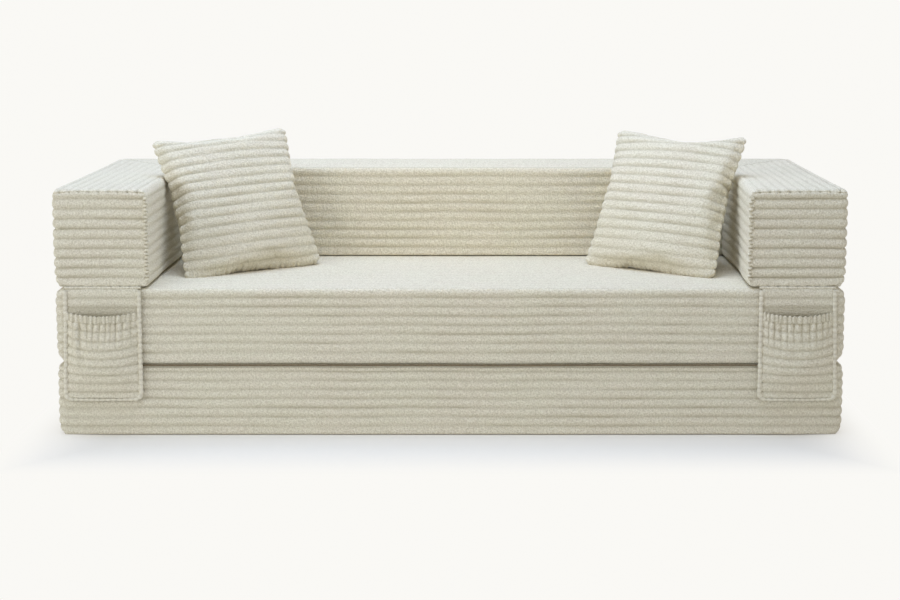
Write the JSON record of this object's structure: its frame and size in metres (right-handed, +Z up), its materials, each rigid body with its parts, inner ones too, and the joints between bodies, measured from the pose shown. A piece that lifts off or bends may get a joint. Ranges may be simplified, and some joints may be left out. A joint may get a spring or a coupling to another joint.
{
  "type": "folding pouf bed",
  "caption": "Folding floor sofa bed with ribbed covers: two foam layers hinged at a front crease, a lift-off surround of back and arms with hanging pockets, and loose pillows.",
  "frame": {"origin": "centre of the lower layer's underside, on the floor", "axes": "+X to the right seen from the front, +Y from the front to the back, +Z up"},
  "size_m": [2.03, 0.7928, 0.7515],
  "materials": {
    "cover": "matte",
    "underside": "matte",
    "foam": "matte",
    "filling": "matte",
    "tape": "matte",
    "strip": "matte",
    "zip": "satin",
    "slider": "satin",
    "elastic": "matte"
  },
  "bodies": {
    "root": {"seat_cover": "cover", "seat_bottom_panel": "underside", "seat_foam": "foam", "seat_zip": "zip", "crease_seam": "tape", "surround_hook_strips": "strip"},
    "base": {"base_cover": "cover", "base_bottom_panel": "underside", "base_foam": "foam", "base_zip": "zip", "base_crease_tape": "tape"},
    "surround": {"back_cover": "cover", "back_bottom_panel": "underside", "back_foam": "foam", "back_zip": "zip", "surround_loop_strips": "strip", "arm_left_cover": "cover", "arm_left_bottom_panel": "underside", "arm_left_foam": "foam", "arm_right_cover": "cover", "arm_right_bottom_panel": "underside", "arm_right_foam": "foam", "pocket_left_anchor_tape": "tape", "pocket_right_anchor_tape": "tape"},
    "pocket_left": {"pocket_left_panel": "cover", "pocket_left_hem_piping": "tape", "pocket_left_binding": "tape", "pocket_left_pouch": "cover", "pocket_left_elastic": "elastic"},
    "pillow_left": {"pillow_left_front_panel": "cover", "pillow_left_back_panel": "cover", "pillow_left_insert": "filling", "pillow_left_zip": "zip"},
    "pillow_left_zip_slider": {"pillow_left_zip_slider": "slider"},
    "pocket_right": {"pocket_right_panel": "cover", "pocket_right_hem_piping": "tape", "pocket_right_binding": "tape", "pocket_right_pouch": "cover", "pocket_right_elastic": "elastic"},
    "pillow_right": {"pillow_right_front_panel": "cover", "pillow_right_back_panel": "cover", "pillow_right_insert": "filling", "pillow_right_zip": "zip"},
    "pillow_right_zip_slider": {"pillow_right_zip_slider": "slider"},
    "base_zip_slider": {"base_zip_slider": "slider"},
    "seat_zip_slider": {"seat_zip_slider": "slider"},
    "back_zip_slider": {"back_zip_slider": "slider"}
  },
  "joints": [
    {"name": "base_fold", "type": "hinge", "parent": "root", "child": "base", "pos_m": [0, -0.3815, 0.193], "axis": [-1, 0, 0], "range_deg": [0, 180]},
    {"name": "surround_lift", "type": "slide", "parent": "root", "child": "surround", "axis": [0, 0, 1], "range_m": [0, 0.45]},
    {"name": "pocket_left_swing", "type": "hinge", "parent": "surround", "child": "pocket_left", "pos_m": [0, -0.3805, 0.386], "axis": [-1, 0, 0], "range_deg": [0, 90]},
    {"name": "pocket_right_swing", "type": "hinge", "parent": "surround", "child": "pocket_right", "pos_m": [0, -0.3805, 0.386], "axis": [-1, 0, 0], "range_deg": [0, 90]},
    {"name": "pillow_left_lift", "type": "slide", "parent": "surround", "child": "pillow_left", "axis": [0, 0, 1], "range_m": [0, 0.5]},
    {"name": "pillow_right_lift", "type": "slide", "parent": "surround", "child": "pillow_right", "axis": [0, 0, 1], "range_m": [0, 0.5]},
    {"name": "base_zip_slide", "type": "slide", "parent": "base", "child": "base_zip_slider", "axis": [-1, 0, 0], "range_m": [0, 1.83]},
    {"name": "seat_zip_slide", "type": "slide", "parent": "root", "child": "seat_zip_slider", "axis": [-1, 0, 0], "range_m": [0, 1.83]},
    {"name": "back_zip_slide", "type": "slide", "parent": "surround", "child": "back_zip_slider", "axis": [-1, 0, 0], "range_m": [0, 1.83]},
    {"name": "pillow_left_zip_slide", "type": "slide", "parent": "pillow_left", "child": "pillow_left_zip_slider", "axis": [-0.8192, -0.5736, 0], "range_m": [0, 0.225]},
    {"name": "pillow_right_zip_slide", "type": "slide", "parent": "pillow_right", "child": "pillow_right_zip_slider", "axis": [-0.8192, 0.5736, 0], "range_m": [0, 0.225]}
  ],
  "couplings": [
    {"joint": "pocket_left_swing", "follows": "base_fold", "ratio": 0.5},
    {"joint": "pocket_right_swing", "follows": "base_fold", "ratio": 0.5}
  ]
}
